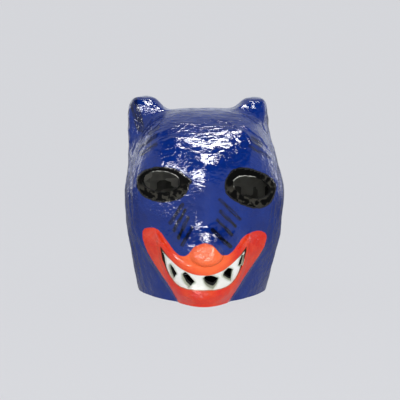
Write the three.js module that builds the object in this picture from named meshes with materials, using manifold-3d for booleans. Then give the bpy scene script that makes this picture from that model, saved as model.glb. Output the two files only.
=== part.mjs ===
// Bear head mask: a papier-mache helmet that covers the whole head and stands on its open rim.
// Millimetres, +Z up, the face looks along -Y. One moulded shell with cut eyes and cut teeth.

import * as THREE from 'three';
import { mergeVertices } from 'three/addons/utils/BufferGeometryUtils.js';
import Module from 'manifold-3d';

const wasm = await Module();
wasm.setup();

// Driving dimensions of the helmet
const head_width = 270;
const rim_width = 219;
const rim_sideways = -4;
const crown_height = 310;
const widest_height = 165;
const brow_depth = 130;
const rim_front_depth = 126;
const back_depth = 150;
const rim_back_depth = 130;
const wall = 7;

// Above its widest the helmet narrows and its corners fill out, so that the crown is broad and nearly flat
const shoulder_height = 312;
const shoulder_width = 214;
const crown_corner_power = 4.2;

// The ears are rounded humps on the corners of the crown, the left one further out
const ear_root = 271;
const ear_thickness = 54;
const ear_setback = 15;
const left_ear = { middle: -100.7, width: 57.6, top: 329.7,
  dent_x: -114, dent_y: -26, dent_width: 30, dent_thickness: 34 };
const right_ear = { middle: 83.5, width: 50, top: 327,
  dent_x: 118, dent_y: 0, dent_width: 24, dent_thickness: 38 };
const ear_dent_height = 296;
const ear_dent_length = 60;
const ear_blend = 21;
const ear_dent_blend = 8;
const ear_corner_power = 3.6;

// The snout: nose ball, raised lips and the shallow bed that the teeth are cut in
const nose_ball_width = 54;
const nose_ball_height = 40;
const nose_ball_rise = 12;
const nose_ball_middle = { x: 2, z: 89 };
const nose_ball_roundness = 1.2;
const lip_rise = 3.5;
const lip_width = 15;
const lip_flat_share = 0.45;
const lip_end_share = 1.25;
const lip_fade = { from: 0.95, to: 1.35 };
const tooth_bed_depth = 3;

// Mouth: a smile between an upper and a lower curve, both rising towards the corners
const mouth_middle = -2;
const mouth_half_width = 70;
const mouth_bottom = 28;
const mouth_top = 53.5;
const upper_corner_rise = 43;
const lower_corner_rise = 62;
const upper_curve_power = 2.2;
const lower_curve_power = 5;

// Eyes: shallow oval sockets painted black, with a smaller oval cut through each
const left_eye = {
  socket: { x: -69, z: 196, half_length: 44, half_height: 29, tilt: 0.04 },
  hole: { x: -72, z: 200.5, half_length: 32, half_height: 17, tilt: 0 },
};
const right_eye = {
  socket: { x: 75, z: 190, half_length: 44, half_height: 30, tilt: -0.4 },
  hole: { x: 78, z: 190.5, half_length: 33, half_height: 17, tilt: -0.34 },
};
const eyes = [left_eye, right_eye];
const socket_depth = 3;
const socket_floor_share = 0.5;
const socket_edge_share = 1.12;

// Six gaps between the cut teeth, each as corners [share of the mouth's half width, share across the smile]
const tooth_gaps = [
  [[-0.965, 0.49], [-0.925, 0.79], [-0.893, 0.61], [-0.881, 0.24], [-0.918, 0.17], [-0.945, 0.28]],
  [[-0.795, 0.59], [-0.766, 0.75], [-0.691, 0.71], [-0.62, 0.54], [-0.708, 0.1], [-0.75, 0.21],
    [-0.787, 0.4]],
  [[-0.504, 0.7], [-0.425, 0.91], [-0.344, 0.85], [-0.189, 0.5], [-0.277, 0.29], [-0.333, 0.07],
    [-0.426, 0.26], [-0.491, 0.52]],
  [[-0.017, 0.78], [0.056, 0.96], [0.184, 0.94], [0.349, 0.67], [0.326, 0.53], [0.289, 0.28], [0.214, 0.06],
    [0.096, 0.22], [0.029, 0.43]],
  [[0.437, 0.69], [0.478, 0.87], [0.571, 0.94], [0.684, 0.68], [0.65, 0.49], [0.636, 0.16], [0.586, 0.27],
    [0.503, 0.49]],
  [[0.797, 0.55], [0.833, 0.72], [0.882, 0.89], [0.939, 0.54], [0.929, 0.21], [0.895, 0.07], [0.843, 0.32]],
];

// Stations as [share of the crown's height, millimetres] of the muzzle around the mouth: how far its middle
// stands in front of the axis, how wide it is to each side, and how proud of the face its edge is
const muzzle_middle = [[0, 152], [0.055, 156], [0.12, 151], [0.19, 156], [0.27, 161], [0.34, 156], [0.4, 140],
  [0.46, 115], [0.55, 60], [1.1, -300]];
const muzzle_half_width = [[0, 39], [0.15, 70], [0.29, 101], [0.36, 106], [0.45, 104], [1.1, 104]];
const muzzle_edge_step = [[0, 9], [0.15, 11], [0.27, 8], [0.34, 3], [0.4, -6], [0.5, -30], [1.1, -300]];
const muzzle_side_slope = 2.6;

// The bridge of the nose, a ridge from between the brows to the ball
const bridge_middle = [[0.1, 60], [0.2, 130], [0.27, 156], [0.325, 161], [0.355, 156], [0.39, 147.5],
  [0.45, 142.5], [0.55, 138], [0.66, 133], [0.76, 120], [0.9, 60], [1.1, -60]];
const bridge_half_width = 48;
const bridge_fall = 22;
const bridge_power = 1.9;
const bridge_blend = 14;
const snout_blend = 6;

// Corners of the helmet's plan: a jaw drawn to the chin below, a broad face above, a round back
const jaw_corner_power = 1.65;
const face_corner_power = 2.5;
const back_corner_power = 2.15;
const crown_power = 2.2;
const jaw_flare_power = 1.7;
const field_reach = 130;

// The face's own forms count in front of the axis only, coming in over this stretch
const face_stretch = { from: 10, to: 40 };

// How finely the shell is faceted
const face_half_turn = THREE.MathUtils.degToRad(60);
const side_half_turn = THREE.MathUtils.degToRad(112);
const shell_columns = { face: 48, side: 10, back: 12 };
const lining_columns = { face: 16, side: 6, back: 8 };
const rows_below_widest = 20;
const rows_above_widest = 19;
const lining_rows_below = 10;
const lining_rows_above = 12;
const hole_corners = 24;
const smile_steps = 22;
const cut_clearance = 16;
const ray_halvings = 26;
const slope_reach = 6;
const weld_distance = 1e-4;

const clamp01 = (value) => Math.min(1, Math.max(0, value));
const smooth = (from, to, value) => {
  const t = clamp01((value - from) / (to - from));
  return t * t * (3 - 2 * t);
};
const power = (value, exponent) => Math.pow(Math.abs(value), exponent);

// The larger of two values, rounded over a blend width
function roundedMax(a, b, blend) {
  const t = clamp01(0.5 + (0.5 * (a - b)) / blend);
  return b + (a - b) * t + blend * t * (1 - t);
}

// A smooth curve through stations, with each slope taken from the neighbouring stations
function along(stations, share) {
  const last = stations.length - 1;
  let i = 0;
  while (i < last - 1 && share > stations[i + 1][0]) i += 1;
  const [x0, y0] = stations[i];
  const [x1, y1] = stations[i + 1];
  const before = stations[Math.max(0, i - 1)];
  const after = stations[Math.min(last, i + 2)];
  const slope0 = (y1 - before[1]) / (x1 - before[0]);
  const slope1 = (after[1] - y0) / (after[0] - x0);
  const t = clamp01((share - x0) / (x1 - x0));
  const span = x1 - x0;
  return y0 * (1 + 2 * t) * (1 - t) ** 2 + y1 * t * t * (3 - 2 * t)
    + span * (slope0 * t * (1 - t) ** 2 - slope1 * t * t * (1 - t));
}

// Half width, front depth and back depth of the plain helmet at a height, and its corner power in front
function plan(z) {
  const below = power(1 - Math.min(z, widest_height) / widest_height, jaw_flare_power);
  return {
    middle: rim_sideways * below,
    side: (head_width - (head_width - rim_width) * below) / 2,
    front: brow_depth - (brow_depth - rim_front_depth) * below,
    back: back_depth - (back_depth - rim_back_depth) * below,
    corner: jaw_corner_power
      + (face_corner_power - jaw_corner_power) * smooth(0, widest_height, Math.max(0, z)),
  };
}

// Zero on the plain helmet without ears, below zero inside it
function helmetField(x, y, z) {
  const { middle, side, front, back, corner } = plan(z);
  const above = smooth(widest_height, shoulder_height, z);
  const half = side - (side - shoulder_width / 2) * above;
  const plain_corner = y < 0 ? corner : back_corner_power;
  const n = plain_corner + (crown_corner_power - plain_corner) * above;
  const depth = y < 0 ? front : back;
  const rise = Math.max(0, z - widest_height) / (crown_height - widest_height);
  const profile = Math.pow(power(y / depth, crown_power) + power(rise, crown_power), 1 / crown_power);
  return (Math.pow(power((x - middle) / half, n) + power(profile, n), 1 / n) - 1) * field_reach;
}

// Zero on an oval lump with the given middle and half sizes
function lumpField(x, y, z, middle, half, exponent) {
  const r = power((x - middle[0]) / half[0], exponent) + power((y - middle[1]) / half[1], exponent)
    + power((z - middle[2]) / half[2], exponent);
  return (Math.pow(r, 1 / exponent) - 1) * Math.min(...half);
}

// Helmet and ears as one smooth skin, each ear with a shallow dent in its outer face
function skinField(x, y, z) {
  let field = helmetField(x, y, z);
  for (const ear of [left_ear, right_ear]) {
    const half = [ear.width / 2, ear_thickness / 2, ear.top - ear_root];
    const hump = lumpField(x, y, z, [ear.middle, ear_setback, ear_root], half, ear_corner_power);
    const dent_half = [ear.dent_width / 2, ear.dent_thickness / 2, ear_dent_length / 2];
    const dent = lumpField(x, y, z, [ear.dent_x, ear.dent_y, ear_dent_height], dent_half, 2);
    field = -roundedMax(-field, -hump, ear_blend);
    field = roundedMax(field, -dent, ear_dent_blend);
  }
  return field;
}

// Distance along a ray from inside the helmet to its skin, or to a layer that lies deeper
function castRay(start, direction, layer) {
  let near = 0;
  let far = 2 * back_depth;
  for (let i = 0; i < ray_halvings; i += 1) {
    const middle = (near + far) / 2;
    const at = start.clone().addScaledVector(direction, middle);
    if (skinField(at.x, at.y, at.z) < -layer) near = middle;
    else far = middle;
  }
  return (near + far) / 2;
}

// Depth of the plain face in front of the axis at a place seen from the front
function plainDepth(x, z) {
  return castRay(new THREE.Vector3(x, 0, z), new THREE.Vector3(0, -1, 0), 0);
}

// Heights of the smile's two curves
const upperCurve = (x) => mouth_top
  + upper_corner_rise * power((x - mouth_middle) / mouth_half_width, upper_curve_power);
const lowerCurve = (x) => mouth_bottom
  + lower_corner_rise * power((x - mouth_middle) / mouth_half_width, lower_curve_power);

// The muzzle's own depth: a dome that falls off sideways to an edge proud of the face
function muzzleDepth(x, z) {
  const share = z / crown_height;
  const middle = along(muzzle_middle, share);
  const half = along(muzzle_half_width, share);
  const { side, front, corner } = plan(z);
  const face_at_edge = front * Math.pow(1 - power(Math.min(half / side, 1), corner), 1 / corner);
  const edge = Math.min(face_at_edge + along(muzzle_edge_step, share), middle);
  const across = Math.abs(x - mouth_middle) / half;
  const inside = middle - (middle - edge) * across * across;
  return across < 1 ? inside : edge - muzzle_side_slope * half * (across - 1);
}

// The bridge's own depth, rounded across
function bridgeDepth(x, z) {
  const across = (x - nose_ball_middle.x) / bridge_half_width;
  return along(bridge_middle, z / crown_height) - bridge_fall * power(across, bridge_power);
}

// How far out a place is in an oval, 0 in its middle and 1 on its edge
function ovalRadius(oval, x, z) {
  const dx = x - oval.x;
  const dz = z - oval.z;
  const u = dx * Math.cos(oval.tilt) + dz * Math.sin(oval.tilt);
  const v = dz * Math.cos(oval.tilt) - dx * Math.sin(oval.tilt);
  return Math.hypot(u / oval.half_length, v / oval.half_height);
}

// The face's broad forms: snout and eye sockets. The lining follows these alone.
function broadDepth(x, z, plain) {
  const snout = roundedMax(muzzleDepth(x, z), bridgeDepth(x, z), bridge_blend);
  let depth = roundedMax(plain, snout, snout_blend);
  for (const { socket } of eyes) {
    depth -= socket_depth * (1 - smooth(socket_floor_share, socket_edge_share, ovalRadius(socket, x, z)));
  }
  return depth;
}

// The carving on top of them: nose ball and lips
function carvedDepth(x, z, plain) {
  const ball = Math.hypot((x - nose_ball_middle.x) / (nose_ball_width / 2),
    (z - nose_ball_middle.z) / (nose_ball_height / 2));
  const nose = nose_ball_rise * Math.pow(clamp01(1 - ball * ball), nose_ball_roundness);
  const sideways = Math.abs(x - mouth_middle) / mouth_half_width;
  const from_smile = Math.max(z - upperCurve(x), lowerCurve(x) - z, 0) / lip_width;
  const lips = lip_rise * (1 - smooth(lip_fade.from, lip_fade.to, sideways))
    * (1 - smooth(lip_flat_share, lip_end_share, from_smile));
  return broadDepth(x, z, plain) + lips + nose;
}

// A point of a layer for a turn about the axis and a share upwards, 0 at the rim and 2 at the crown
function layerPoint(turn, up, layer) {
  const lift = Math.max(0, up - 1) * (Math.PI / 2);
  const start = new THREE.Vector3(0, 0, Math.min(up, 1) * widest_height);
  const level = new THREE.Vector3(Math.sin(turn), -Math.cos(turn), 0).multiplyScalar(Math.cos(lift));
  const direction = level.add(new THREE.Vector3(0, 0, Math.sin(lift)));
  return start.addScaledVector(direction, castRay(start, direction, layer));
}

// How far the face's forms count at a point
const facing = (point) => smooth(face_stretch.from, face_stretch.to, -point.y);

function skinPoint(turn, up) {
  const point = layerPoint(turn, up, 0);
  const carved = carvedDepth(point.x, point.z, -point.y);
  point.y -= (carved + point.y) * facing(point);
  return point;
}

// The lining lies a wall deeper, and deeper still where the face's forms are steep
function liningPoint(turn, up) {
  const point = layerPoint(turn, up, wall);
  if (facing(point) === 0) return point;
  const rise = (x, z) => {
    const plain = plainDepth(x, z);
    return broadDepth(x, z, plain) - plain;
  };
  const across = (rise(point.x + wall, point.z) - rise(point.x - wall, point.z)) / (2 * wall);
  const upward = (rise(point.x, point.z + wall) - rise(point.x, point.z - wall)) / (2 * wall);
  const slant = wall * (Math.hypot(1, across, upward) - 1);
  point.y -= (rise(point.x, point.z) - slant) * facing(point);
  return point;
}

// Turns of the columns, closest together across the face and furthest apart behind
function columnTurns({ face, side, back }) {
  const spread = (from, to, count) => {
    const step = (to - from) / count;
    return Array.from({ length: count }, (_, i) => from + i * step);
  };
  return [
    ...spread(-face_half_turn, face_half_turn, face),
    ...spread(face_half_turn, side_half_turn, side),
    ...spread(side_half_turn, 2 * Math.PI - side_half_turn, back),
    ...spread(2 * Math.PI - side_half_turn, 2 * Math.PI - face_half_turn, side),
  ];
}

// A solid in manifold's form from points and triangles
function solidFrom(points, triangles) {
  const geometry = new THREE.BufferGeometry().setFromPoints(points);
  geometry.setIndex(triangles);
  const merged = mergeVertices(geometry, weld_distance);
  return new wasm.Manifold(new wasm.Mesh({
    numProp: 3,
    vertProperties: new Float32Array(merged.attributes.position.array),
    triVerts: new Uint32Array(merged.index.array),
  }));
}

// A closed body from rings of equal length, capped by a fan at each end
function ringBody(rings, first_middle, last_middle) {
  const count = rings[0].length;
  const points = rings.flat();
  const triangles = [];
  for (let row = 0; row + 1 < rings.length; row += 1) {
    for (let i = 0; i < count; i += 1) {
      const a = row * count + i;
      const b = row * count + ((i + 1) % count);
      triangles.push(a, b, b + count, a, b + count, a + count);
    }
  }
  const low = points.push(first_middle) - 1;
  const high = points.push(last_middle) - 1;
  const top_row = (rings.length - 1) * count;
  for (let i = 0; i < count; i += 1) {
    const next = (i + 1) % count;
    triangles.push(low, next, i, high, top_row + i, top_row + next);
  }
  return solidFrom(points, triangles);
}

// Rows of a layer from the rim to just below the crown
function layerRings(turns, rows_below, rows_above, pointOf) {
  const below = Array.from({ length: rows_below }, (_, i) => i / rows_below);
  const above = Array.from({ length: rows_above }, (_, i) => 1 + i / rows_above);
  return [...below, ...above].map((up) => turns.map((turn) => pointOf(turn, up)));
}

function outerBody() {
  const rings = layerRings(columnTurns(shell_columns), rows_below_widest, rows_above_widest, skinPoint);
  return ringBody(rings, new THREE.Vector3(0, 0, 0), new THREE.Vector3(0, 0, crown_height));
}

// The hollow inside, which runs on below the rim so that the helmet is open there
function innerBody() {
  const rings = layerRings(columnTurns(lining_columns), lining_rows_below, lining_rows_above, liningPoint);
  const below = rings[0].map((point) => point.clone().setZ(-wall));
  const top = new THREE.Vector3(0, 0, crown_height - wall);
  return ringBody([below, ...rings], new THREE.Vector3(0, 0, -wall), top);
}

// A place on the carved face, and the direction square to the face there
const faceDepth = (x, z) => carvedDepth(x, z, plainDepth(x, z));
const facePoint = (x, z) => new THREE.Vector3(x, -faceDepth(x, z), z);
function faceNormal(x, z) {
  const across = (faceDepth(x + slope_reach, z) - faceDepth(x - slope_reach, z)) / (2 * slope_reach);
  const upward = (faceDepth(x, z + slope_reach) - faceDepth(x, z - slope_reach)) / (2 * slope_reach);
  return new THREE.Vector3(-across, -1, -upward).normalize();
}

// A plug whose outline lies on the face, driven square through the wall
function faceCut(outline) {
  const ring = outline.map(([x, z]) => facePoint(x, z));
  const middle = ring.reduce((sum, point) => sum.add(point), new THREE.Vector3()).divideScalar(ring.length);
  const normal = faceNormal(middle.x, middle.z);
  const shifted = (point, distance) => point.clone().addScaledVector(normal, distance);
  const inward = -2 * cut_clearance;
  const rings = [inward, cut_clearance].map((distance) => ring.map((point) => shifted(point, distance)));
  return ringBody(rings, shifted(middle, inward), shifted(middle, cut_clearance));
}

function eyeOutline({ x, z, half_length, half_height, tilt }) {
  const outline = [];
  for (let i = 0; i < hole_corners; i += 1) {
    const angle = (2 * Math.PI * i) / hole_corners;
    const u = half_length * Math.cos(angle);
    const v = half_height * Math.sin(angle);
    outline.push([x + u * Math.cos(tilt) - v * Math.sin(tilt), z + u * Math.sin(tilt) + v * Math.cos(tilt)]);
  }
  return outline;
}

// A tooth gap's corners from shares of the mouth
function gapOutline(corners) {
  const outline = corners.map(([share, across]) => {
    const x = mouth_middle + share * mouth_half_width;
    return [x, lowerCurve(x) + across * (upperCurve(x) - lowerCurve(x))];
  });
  const area = THREE.ShapeUtils.area(outline.map(([x, z]) => new THREE.Vector2(x, z)));
  return area > 0 ? outline : outline.reverse();
}

// The bed of the teeth: the smile sunk below the lips, its floor the face's own form moved back
function toothBed(outer) {
  const upper = [];
  const lower = [];
  for (let i = 0; i <= smile_steps; i += 1) {
    const x = mouth_middle + mouth_half_width * (-1 + (2 * i) / smile_steps);
    upper.push(facePoint(x, upperCurve(x)));
    lower.push(facePoint(x, lowerCurve(x)));
  }
  const push = (points, distance) => points.map((point) => point.clone().setY(point.y + distance));
  const back = cut_clearance;
  const rings = [push(lower, -back), push(lower, back), push(upper, back), push(upper, -back)];
  const count = smile_steps + 1;
  const points = rings.flat();
  const triangles = [];
  for (let side = 0; side < 4; side += 1) {
    const a = side * count;
    const b = ((side + 1) % 4) * count;
    for (let i = 0; i < smile_steps; i += 1) {
      triangles.push(a + i, b + i + 1, a + i + 1, a + i, b + i, b + i + 1);
    }
  }
  const end = smile_steps;
  triangles.push(0, 2 * count, count, 0, 3 * count, 2 * count);
  triangles.push(end, count + end, 2 * count + end, end, 2 * count + end, 3 * count + end);
  return solidFrom(points, triangles).subtract(outer.translate([0, tooth_bed_depth, 0]));
}

function maskShell() {
  const outer = outerBody();
  let shell = outer.subtract(innerBody()).subtract(toothBed(outer));
  for (const { hole } of eyes) shell = shell.subtract(faceCut(eyeOutline(hole)));
  for (const corners of tooth_gaps) shell = shell.subtract(faceCut(gapOutline(corners)));
  return shell;
}

// The finished solid as a mesh's geometry, moved so that it stands in the middle of its own box
function standingGeometry(solid) {
  const mesh = solid.getMesh();
  const geometry = new THREE.BufferGeometry();
  geometry.setAttribute('position', new THREE.BufferAttribute(mesh.vertProperties, 3));
  geometry.setIndex(new THREE.BufferAttribute(mesh.triVerts, 1));
  geometry.computeBoundingBox();
  const middle = geometry.boundingBox.getCenter(new THREE.Vector3());
  geometry.translate(-middle.x, -middle.y, -geometry.boundingBox.min.z);
  geometry.computeVertexNormals();
  return geometry;
}

const enamel = new THREE.MeshStandardMaterial({ color: '#22358a', roughness: 0.2, metalness: 0 });

const mask_shell = new THREE.Mesh(standingGeometry(maskShell()), enamel);
mask_shell.name = 'mask_shell';

const group = new THREE.Group();
group.add(mask_shell);

export default group;
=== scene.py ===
"""Bear head mask: a papier-mache helmet in gloss enamel, with the plain studio round it."""

import itertools
import math

import bpy
import numpy as np
from bpy.props import FloatProperty, FloatVectorProperty, PointerProperty
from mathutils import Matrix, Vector


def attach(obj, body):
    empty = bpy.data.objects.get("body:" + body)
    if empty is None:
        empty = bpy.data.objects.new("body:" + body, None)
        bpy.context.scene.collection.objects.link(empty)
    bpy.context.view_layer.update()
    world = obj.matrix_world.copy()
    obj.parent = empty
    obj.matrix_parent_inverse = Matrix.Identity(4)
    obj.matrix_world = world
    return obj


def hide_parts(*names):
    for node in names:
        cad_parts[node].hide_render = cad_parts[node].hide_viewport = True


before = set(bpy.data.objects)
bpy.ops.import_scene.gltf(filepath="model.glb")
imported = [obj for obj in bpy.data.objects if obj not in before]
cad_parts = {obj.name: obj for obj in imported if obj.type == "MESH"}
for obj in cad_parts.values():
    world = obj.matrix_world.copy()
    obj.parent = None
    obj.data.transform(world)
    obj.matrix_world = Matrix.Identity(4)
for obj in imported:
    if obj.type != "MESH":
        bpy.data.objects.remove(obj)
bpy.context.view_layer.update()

bl_info = {
    "name": "Bear head mask",
    "version": (1, 0, 0),
    "blender": (4, 5, 0),
    "location": "3D View > Sidebar > Mask",
    "description": "Builds a painted papier-mache bear mask and its studio",
    "category": "Add Mesh",
}

MM = 0.001

# Helmet in millimetres from its axis and its rim, the same form as the CAD node
HEAD_WIDTH = 270.0
RIM_WIDTH = 219.0
RIM_SIDEWAYS = -4.0
CROWN_HEIGHT = 310.0
WIDEST_HEIGHT = 165.0
BROW_DEPTH = 130.0
RIM_FRONT_DEPTH = 126.0
BACK_DEPTH = 150.0
RIM_BACK_DEPTH = 130.0
WALL = 7.0
SHOULDER_HEIGHT = 312.0
SHOULDER_WIDTH = 214.0
CROWN_CORNER_POWER = 4.2
JAW_CORNER_POWER = 1.65
FACE_CORNER_POWER = 2.5
BACK_CORNER_POWER = 2.15
CROWN_POWER = 2.2
JAW_FLARE_POWER = 1.7
FIELD_REACH = 130.0

# Ears
EAR_ROOT = 271.0
EAR_THICKNESS = 54.0
EAR_SETBACK = 15.0
EAR_DENT_HEIGHT = 296.0
EAR_DENT_LENGTH = 60.0
EAR_BLEND = 21.0
EAR_DENT_BLEND = 8.0
EAR_CORNER_POWER = 3.6
EARS = (
    {"middle": -100.7, "width": 57.6, "top": 329.7, "dent": (-114.0, -26.0), "dent_size": (30.0, 34.0)},
    {"middle": 83.5, "width": 50.0, "top": 327.0, "dent": (118.0, 0.0), "dent_size": (24.0, 38.0)},
)

# Snout: stations are (share of the crown's height, millimetres)
MUZZLE_MIDDLE = ((0, 152), (0.055, 156), (0.12, 151), (0.19, 156), (0.27, 161), (0.34, 156), (0.4, 140),
                 (0.46, 115), (0.55, 60), (1.1, -300))
MUZZLE_HALF_WIDTH = ((0, 39), (0.15, 70), (0.29, 101), (0.36, 106), (0.45, 104), (1.1, 104))
MUZZLE_EDGE_STEP = ((0, 9), (0.15, 11), (0.27, 8), (0.34, 3), (0.4, -6), (0.5, -30), (1.1, -300))
MUZZLE_SIDE_SLOPE = 2.6
BRIDGE_MIDDLE = ((0.1, 60), (0.2, 130), (0.27, 156), (0.325, 161), (0.355, 156), (0.39, 147.5), (0.45, 142.5),
                 (0.55, 138), (0.66, 133), (0.76, 120), (0.9, 60), (1.1, -60))
BRIDGE_HALF_WIDTH = 48.0
BRIDGE_FALL = 22.0
BRIDGE_POWER = 1.9
BRIDGE_BLEND = 14.0
SNOUT_BLEND = 6.0
NOSE_MIDDLE = (2.0, 89.0)
NOSE_HALF_SIZE = (27.0, 20.0)
NOSE_FRONT = 171.0
NOSE_FALL = 14.0
NOSE_POWER = 6.0
NOSE_LEAN = (0.16, -0.27)
NOSE_BLEND = 6.0
LOWER_LIP_STRETCH = 1.5
LIP_RISE = 3.5
LIP_WIDTH = 15.0
LIP_FLAT_SHARE = 0.45
LIP_END_SHARE = 1.25
LIP_FADE = (0.95, 1.35)
SOCKET_DEPTH = 3.0
SOCKET_FLOOR_SHARE = 0.5
SOCKET_EDGE_SHARE = 1.12
FACE_STRETCH = (10.0, 40.0)

# Mouth: a smile between two curves, and the corners of the six gaps cut between the teeth, each as
# (share of the mouth's half width, share across the smile)
MOUTH_MIDDLE = -2.0
MOUTH_HALF_WIDTH = 70.0
MOUTH_BOTTOM = 28.0
MOUTH_TOP = 53.5
UPPER_CORNER_RISE = 43.0
LOWER_CORNER_RISE = 62.0
UPPER_CURVE_POWER = 2.2
LOWER_CURVE_POWER = 5.0
TOOTH_BED_DEPTH = 3.0
TOOTH_GAPS = (
    ((-0.965, 0.49), (-0.925, 0.79), (-0.893, 0.61), (-0.881, 0.24), (-0.918, 0.17), (-0.945, 0.28)),
    ((-0.795, 0.59), (-0.766, 0.75), (-0.691, 0.71), (-0.62, 0.54), (-0.708, 0.1), (-0.75, 0.21),
     (-0.787, 0.4)),
    ((-0.504, 0.7), (-0.425, 0.91), (-0.344, 0.85), (-0.189, 0.5), (-0.277, 0.29), (-0.333, 0.07),
     (-0.426, 0.26), (-0.491, 0.52)),
    ((-0.017, 0.78), (0.056, 0.96), (0.184, 0.94), (0.349, 0.67), (0.326, 0.53), (0.289, 0.28), (0.214, 0.06),
     (0.096, 0.22), (0.029, 0.43)),
    ((0.437, 0.69), (0.478, 0.87), (0.571, 0.94), (0.684, 0.68), (0.65, 0.49), (0.636, 0.16), (0.586, 0.27),
     (0.503, 0.49)),
    ((0.797, 0.55), (0.833, 0.72), (0.882, 0.89), (0.939, 0.54), (0.929, 0.21), (0.895, 0.07), (0.843, 0.32)),
)

# How the gaps' walls lean, sideways and upwards for each millimetre inwards
GAP_SLANTS = ((0.0, 0.0), (0.3, 0.5), (0.4, 0.8), (0.3, 0.85), (0.4, 0.7), (-0.1, 0.1))

# Eyes: ovals as (x, z, half length, half height, tilt)
EYE_SOCKETS = ((-69.0, 196.0, 44.0, 29.0, 0.04), (75.0, 190.0, 44.0, 30.0, -0.4))
EYE_HOLES = ((-72.0, 200.5, 32.0, 17.0, 0.0), (78.0, 190.5, 33.0, 17.0, -0.34))

# Paint: backdrop colour, height of brush marks in metres, lean of the crackle, index of refraction
BACKDROP = "#d5d6da"
BRUSH_MARK_HEIGHT = 0.00005
CRACKLE_LEAN = -0.8
PAINT_IOR = 1.5
# Millimetres from a socket's edge in to its matt black, and what stands for far off in the paint maps
SOCKET_INSET = 1.3
FAR = 60.0

# Studio in metres: where the camera looks, how wide the picture is there, and how far off the lights are
AIM = (-0.0077, 0.011, 0.1535)
PICTURE_WIDTH = 0.684
PICTURE_DISTANCE = 2.5
SENSOR_WIDTH = 36.0
FLOOR_REACH = 30.0
PANEL_DISTANCE = 2.0
FILL_DISTANCE = 2.4
STRIP_DISTANCE = 1.7
HIGH_PANEL_LIFT = math.radians(68)
LOW_PANEL_LIFT = math.radians(21)
LOW_PANEL_TURN = math.radians(-19)
TOP_FILL_LIFT = math.radians(50)
STRIP_TURN = math.radians(130)

# How finely the visible skin is divided: its columns follow the face, the sides and the back
FACE_HALF_TURN = math.radians(60)
SIDE_HALF_TURN = math.radians(112)
SKIN_COLUMNS = (250, 34, 50)
SKIN_ROWS = (104, 92)
LINING_COLUMNS = (48, 12, 16)
LINING_ROWS = (24, 26)
CUT_CLEARANCE = 16.0
PLANE_POINTS = 96
SMILE_STEPS = 90

# Paint edges on the face, as (x, z) in millimetres
RED_OUTLINE = (
    (-105, 116.5), (-91, 124.5), (-75, 122), (-61.5, 106), (-44, 85.5), (-32, 84), (-25, 89.5), (-19, 100.6),
    (-4, 107), (10, 106.3), (19, 98.5), (27, 88.5), (33, 85.5), (42, 87.5), (52, 99.5), (62, 111.5),
    (75, 117), (92, 118.5), (104, 109), (100, 89.7), (83, 63.6), (64, 39), (48, 13), (37, -4), (37, -20),
    (-42, -20), (-42, -4), (-46, 5), (-56, 24.5), (-70.5, 45), (-85, 66), (-99, 89),
)
BLACK_OVALS = (
    (-69.0, 196.0, 44.0, 29.0, 0.04, 2.1), (-38.0, 206.0, 18.0, 8.0, -0.25, 2.0),
    (75.0, 190.0, 44.0, 30.0, -0.4, 2.5),
)
# Long folds from the ears' feet down the sides of the forehead, as points in millimetres
FOLD_LINES = (
    ((-82.5, -40.2, 291.0), (-96.5, -25.3, 279.4), (-110.4, -16.7, 263.3), (-120.7, -14.5, 244.4),
     (-126.0, -13.9, 223.9), (-128.8, -29.2, 200.3)),
    ((-78.2, -76.4, 274.6), (-93.3, -72.1, 262.5), (-107.0, -61.2, 246.3), (-113.7, -62.0, 229.7),
     (-118.7, -65.7, 210.1)),
    ((66.9, -69.9, 285.5), (83.4, -71.6, 274.1), (98.6, -66.8, 258.6), (110.7, -59.2, 239.4),
     (119.1, -59.2, 216.0)),
    ((43.9, -65.2, 293.4), (61.6, -81.7, 278.4), (79.5, -88.8, 261.1), (96.3, -83.1, 247.2),
     (110.2, -69.5, 232.3)),
    ((-102.0, -5.7, 321.6), (-95.1, -10.2, 310.1), (-86.5, -17.5, 298.9), (-87.7, -36.9, 287.3)),
    ((-90.1, -8.7, 315.1), (-80.0, -9.6, 311.8), (-71.5, -10.6, 308.5)),
    ((58.5, -11.3, 311.9), (72.0, -9.5, 316.8)), ((56.3, -29.2, 305.1), (67.8, -39.9, 299.3)),
    ((97.9, 4.7, 324.1), (100.8, -8.3, 304.9), (100.3, -23.7, 275.9)),
)
FOLD_WIDTH = 3.2
# Where a highlight is painted on the torn edge over each eye, from x to x, and where the red is thinnest and
# lightest, partly thinner paint and partly painted light
LID_HIGHLIGHT_SPANS = ((-86.0, -42.0), (46.0, 84.0))
THIN_AND_LIT_RED = (2.0, 81.0, 52.0, 34.0, 0.0)
# Where the net of wrinkles is weaker or stronger, as ovals and changes
WRINKLE_OVALS = (
    ((2.0, 160.0, 24.0, 44.0, 0.0), -0.75), ((2.0, 88.0, 32.0, 24.0, 0.0), 1.0),
    ((-2.0, 16.0, 40.0, 15.0, 0.0), 1.0), ((-70.0, 152.0, 26.0, 16.0, 0.0), 0.8),
    ((62.0, 152.0, 26.0, 14.0, 0.0), 0.8),
)
# Dry strokes of black as (x, z) of both ends, width and strength
BLACK_STROKES = (
    (-36.4, 165.2, -55.9, 133.7, 6.0, 0.8), (-32.0, 155.8, -49.6, 122.8, 5.5, 0.85),
    (-27.5, 144.1, -42.5, 112.4, 5.5, 0.85), (-20.6, 128.9, -36.3, 102.9, 5.5, 0.85),
    (24.2, 173.9, 57.1, 140.3, 5.5, 0.75), (26.0, 154.7, 49.5, 129.3, 6.0, 0.75),
    (20.4, 140.8, 43.6, 117.1, 5.5, 0.8), (12.0, 126.2, 41.7, 99.6, 6.5, 0.95),
    (-76.3, 284.9, -91.3, 273.4, 5.0, 0.6), (-80.1, 272.2, -107.0, 251.4, 6.0, 0.6),
    (-79.6, 259.1, -106.3, 240.8, 6.0, 0.6), (77.7, 267.8, 91.1, 257.6, 9.0, 0.55),
    (73.6, 256.5, 107.5, 235.7, 5.0, 0.5), (-119.8, 322.3, -108.7, 278.4, 15.0, 0.6),
    (108.5, 318.0, 110.5, 282.0, 7.0, 0.5),
)


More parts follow.
